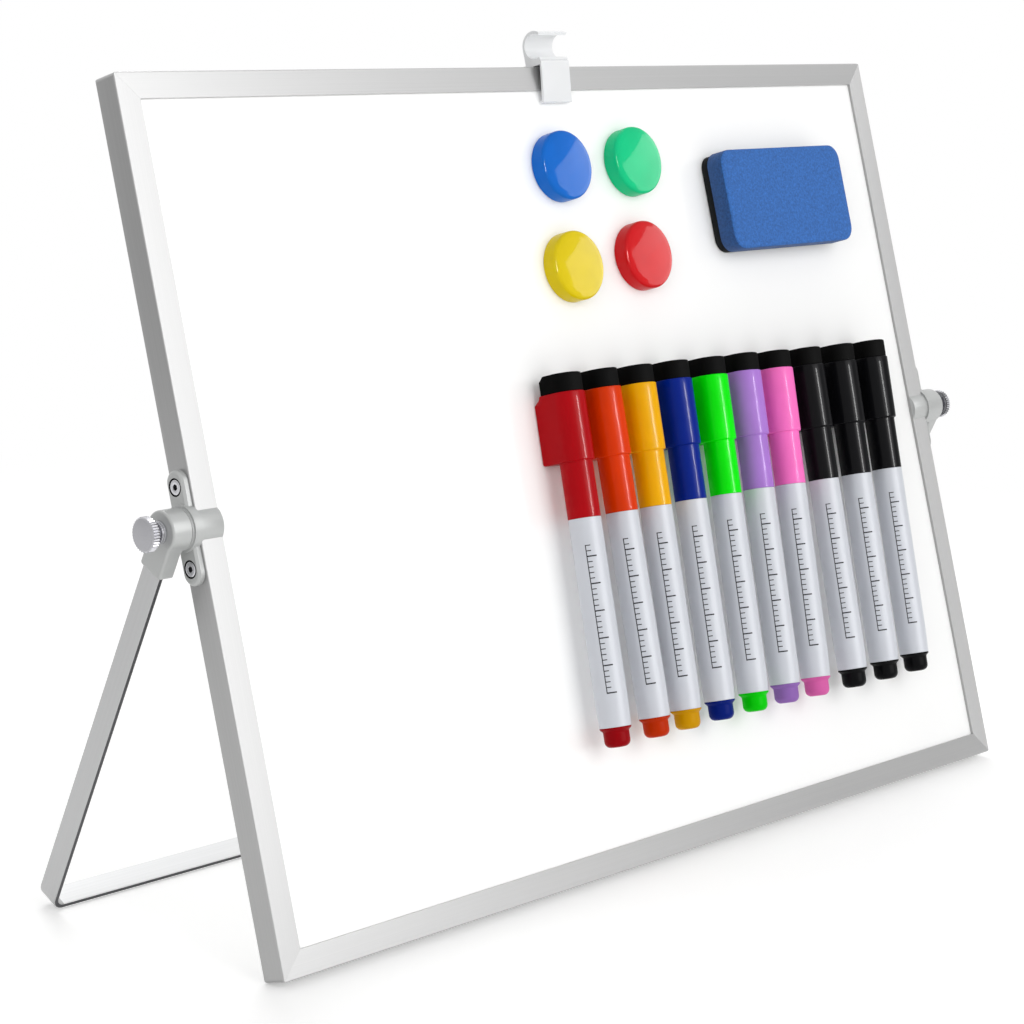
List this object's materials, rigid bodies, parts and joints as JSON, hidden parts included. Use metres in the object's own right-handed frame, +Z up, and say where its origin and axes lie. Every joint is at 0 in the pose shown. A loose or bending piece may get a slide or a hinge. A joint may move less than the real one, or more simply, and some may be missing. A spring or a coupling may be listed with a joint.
{
  "type": "desk whiteboard easel",
  "caption": "Magnetic desk whiteboard in an aluminium frame on a folding U-shaped stand, with a pen clip, round magnets, an eraser and capped dry-wipe markers.",
  "frame": {"origin": "middle of the foot print, on the surface that the easel stands on", "axes": "+X along the board's width, to the right for who writes on it; +Y to the back, where the stand reaches; +Z up"},
  "size_m": [0.4378, 0.118, 0.3024],
  "materials": {
    "frame": "brushed, satin anodised",
    "writing_face": "gloss white",
    "core": "plain fibreboard",
    "corner_key": "plain",
    "pivot_plastic": "satin silver grey",
    "screw": "polished",
    "insert": "plain",
    "stand": "satin",
    "thumbscrew": "polished, knurled edge",
    "clip": "gloss white",
    "ferrite": "sintered",
    "eraser_foam": "fine grained",
    "eraser_felt": "felt",
    "eraser_magnet": "plain",
    "marker_barrel": "gloss white",
    "magnet_blue": "gloss",
    "magnet_green": "gloss",
    "magnet_yellow": "gloss",
    "magnet_red": "gloss",
    "marker_red": "gloss",
    "marker_orange": "gloss",
    "marker_yellow": "gloss",
    "marker_blue": "gloss",
    "marker_green": "gloss",
    "marker_purple": "gloss",
    "marker_pink": "gloss",
    "marker_black": "gloss"
  },
  "bodies": {
    "board": {"writing_sheet_front": "writing_face", "core_panel": "core", "writing_sheet_back": "writing_face", "rail_top": "frame", "rail_bottom": "frame", "rail_left": "frame", "rail_right": "frame", "corner_keys": "corner_key", "bracket_left": "pivot_plastic", "bracket_right": "pivot_plastic", "bracket_screws": "screw", "pivot_inserts": "insert"},
    "stand": {"stand_bar": "stand", "hub_left": "pivot_plastic", "hub_right": "pivot_plastic"},
    "washers_left": {"washers_left": "screw"},
    "thumbscrew_left": {"thumbscrew_left": "thumbscrew"},
    "washers_right": {"washers_right": "screw"},
    "thumbscrew_right": {"thumbscrew_right": "thumbscrew"},
    "pen_clip": {"pen_clip": "clip"},
    "magnet_blue": {"magnet_cap_blue": "magnet_blue", "magnet_disc_blue": "ferrite"},
    "magnet_green": {"magnet_cap_green": "magnet_green", "magnet_disc_green": "ferrite"},
    "magnet_yellow": {"magnet_cap_yellow": "magnet_yellow", "magnet_disc_yellow": "ferrite"},
    "magnet_red": {"magnet_cap_red": "magnet_red", "magnet_disc_red": "ferrite"},
    "eraser": {"eraser_felt": "eraser_felt", "eraser_foam": "eraser_foam", "eraser_magnet": "eraser_magnet"},
    "marker_cap_red": {"marker_cap_red": "marker_red"},
    "marker_barrel_red": {"marker_barrel_red": "marker_barrel"},
    "marker_cap_orange": {"marker_cap_orange": "marker_orange"},
    "marker_barrel_orange": {"marker_barrel_orange": "marker_barrel"},
    "marker_cap_yellow": {"marker_cap_yellow": "marker_yellow"},
    "marker_barrel_yellow": {"marker_barrel_yellow": "marker_barrel"},
    "marker_cap_blue": {"marker_cap_blue": "marker_blue"},
    "marker_barrel_blue": {"marker_barrel_blue": "marker_barrel"},
    "marker_cap_green": {"marker_cap_green": "marker_green"},
    "marker_barrel_green": {"marker_barrel_green": "marker_barrel"},
    "marker_cap_purple": {"marker_cap_purple": "marker_purple"},
    "marker_barrel_purple": {"marker_barrel_purple": "marker_barrel"},
    "marker_cap_pink": {"marker_cap_pink": "marker_pink"},
    "marker_barrel_pink": {"marker_barrel_pink": "marker_barrel"},
    "marker_cap_black_1": {"marker_cap_black_1": "marker_black"},
    "marker_barrel_black_1": {"marker_barrel_black_1": "marker_barrel"},
    "marker_cap_black_2": {"marker_cap_black_2": "marker_black"},
    "marker_barrel_black_2": {"marker_barrel_black_2": "marker_barrel"},
    "marker_cap_black_3": {"marker_cap_black_3": "marker_black"},
    "marker_barrel_black_3": {"marker_barrel_black_3": "marker_barrel"}
  },
  "joints": [
    {"name": "stand_fold", "type": "hinge", "parent": "board", "child": "stand", "pos_m": [0, -0.009, 0.14491], "axis": [1, 0, 0], "range_deg": [-210, 125]},
    {"name": "thumbscrew_left_travel", "type": "slide", "parent": "stand", "child": "washers_left", "axis": [-1, 0, 0], "range_m": [0, 0.0007]},
    {"name": "thumbscrew_left_turn", "type": "hinge", "parent": "washers_left", "child": "thumbscrew_left", "pos_m": [0, -0.009, 0.14491], "axis": [-1, 0, 0], "range_deg": [0, 360]},
    {"name": "thumbscrew_right_travel", "type": "slide", "parent": "stand", "child": "washers_right", "axis": [1, 0, 0], "range_m": [0, 0.0007]},
    {"name": "thumbscrew_right_turn", "type": "hinge", "parent": "washers_right", "child": "thumbscrew_right", "pos_m": [0, -0.009, 0.14491], "axis": [1, 0, 0], "range_deg": [0, 360]},
    {"name": "pen_clip_slide", "type": "slide", "parent": "board", "child": "pen_clip", "axis": [1, 0, 0], "range_m": [-0.1885, 0.177]},
    {"name": "magnet_blue_lift", "type": "slide", "parent": "board", "child": "magnet_blue", "axis": [0, -0.9542, 0.299], "range_m": [0, 0.04]},
    {"name": "magnet_green_lift", "type": "slide", "parent": "board", "child": "magnet_green", "axis": [0, -0.9542, 0.299], "range_m": [0, 0.04]},
    {"name": "magnet_yellow_lift", "type": "slide", "parent": "board", "child": "magnet_yellow", "axis": [0, -0.9542, 0.299], "range_m": [0, 0.04]},
    {"name": "magnet_red_lift", "type": "slide", "parent": "board", "child": "magnet_red", "axis": [0, -0.9542, 0.299], "range_m": [0, 0.04]},
    {"name": "eraser_lift", "type": "slide", "parent": "board", "child": "eraser", "axis": [0, -0.9542, 0.299], "range_m": [0, 0.04]},
    {"name": "marker_red_lift", "type": "slide", "parent": "board", "child": "marker_cap_red", "axis": [0, -0.9542, 0.299], "range_m": [0, 0.045]},
    {"name": "marker_red_uncap", "type": "slide", "parent": "marker_cap_red", "child": "marker_barrel_red", "axis": [-0.0576, -0.2985, -0.9527], "range_m": [0, 0.032]},
    {"name": "marker_orange_lift", "type": "slide", "parent": "board", "child": "marker_cap_orange", "axis": [0, -0.9542, 0.299], "range_m": [0, 0.045]},
    {"name": "marker_orange_uncap", "type": "slide", "parent": "marker_cap_orange", "child": "marker_barrel_orange", "axis": [-0.0436, -0.2988, -0.9533], "range_m": [0, 0.032]},
    {"name": "marker_yellow_lift", "type": "slide", "parent": "board", "child": "marker_cap_yellow", "axis": [0, -0.9542, 0.299], "range_m": [0, 0.045]},
    {"name": "marker_yellow_uncap", "type": "slide", "parent": "marker_cap_yellow", "child": "marker_barrel_yellow", "axis": [-0.0593, -0.2985, -0.9526], "range_m": [0, 0.032]},
    {"name": "marker_blue_lift", "type": "slide", "parent": "board", "child": "marker_cap_blue", "axis": [0, -0.9542, 0.299], "range_m": [0, 0.045]},
    {"name": "marker_blue_uncap", "type": "slide", "parent": "marker_cap_blue", "child": "marker_barrel_blue", "axis": [-0.068, -0.2983, -0.952], "range_m": [0, 0.032]},
    {"name": "marker_green_lift", "type": "slide", "parent": "board", "child": "marker_cap_green", "axis": [0, -0.9542, 0.299], "range_m": [0, 0.045]},
    {"name": "marker_green_uncap", "type": "slide", "parent": "marker_cap_green", "child": "marker_barrel_green", "axis": [-0.0767, -0.2982, -0.9514], "range_m": [0, 0.032]},
    {"name": "marker_purple_lift", "type": "slide", "parent": "board", "child": "marker_cap_purple", "axis": [0, -0.9542, 0.299], "range_m": [0, 0.045]},
    {"name": "marker_purple_uncap", "type": "slide", "parent": "marker_cap_purple", "child": "marker_barrel_purple", "axis": [-0.0837, -0.298, -0.9509], "range_m": [0, 0.032]},
    {"name": "marker_pink_lift", "type": "slide", "parent": "board", "child": "marker_cap_pink", "axis": [0, -0.9542, 0.299], "range_m": [0, 0.045]},
    {"name": "marker_pink_uncap", "type": "slide", "parent": "marker_cap_pink", "child": "marker_barrel_pink", "axis": [-0.0906, -0.2978, -0.9503], "range_m": [0, 0.032]},
    {"name": "marker_black_1_lift", "type": "slide", "parent": "board", "child": "marker_cap_black_1", "axis": [0, -0.9542, 0.299], "range_m": [0, 0.045]},
    {"name": "marker_black_1_uncap", "type": "slide", "parent": "marker_cap_black_1", "child": "marker_barrel_black_1", "axis": [-0.0593, -0.2985, -0.9526], "range_m": [0, 0.032]},
    {"name": "marker_black_2_lift", "type": "slide", "parent": "board", "child": "marker_cap_black_2", "axis": [0, -0.9542, 0.299], "range_m": [0, 0.045]},
    {"name": "marker_black_2_uncap", "type": "slide", "parent": "marker_cap_black_2", "child": "marker_barrel_black_2", "axis": [-0.0628, -0.2985, -0.9524], "range_m": [0, 0.032]},
    {"name": "marker_black_3_lift", "type": "slide", "parent": "board", "child": "marker_cap_black_3", "axis": [0, -0.9542, 0.299], "range_m": [0, 0.045]},
    {"name": "marker_black_3_uncap", "type": "slide", "parent": "marker_cap_black_3", "child": "marker_barrel_black_3", "axis": [-0.0663, -0.2984, -0.9521], "range_m": [0, 0.032]}
  ],
  "couplings": [
    {"joint": "thumbscrew_left_turn", "follows": "thumbscrew_left_travel", "rad_per_m": 8976},
    {"joint": "thumbscrew_right_turn", "follows": "thumbscrew_right_travel", "rad_per_m": 8976}
  ]
}
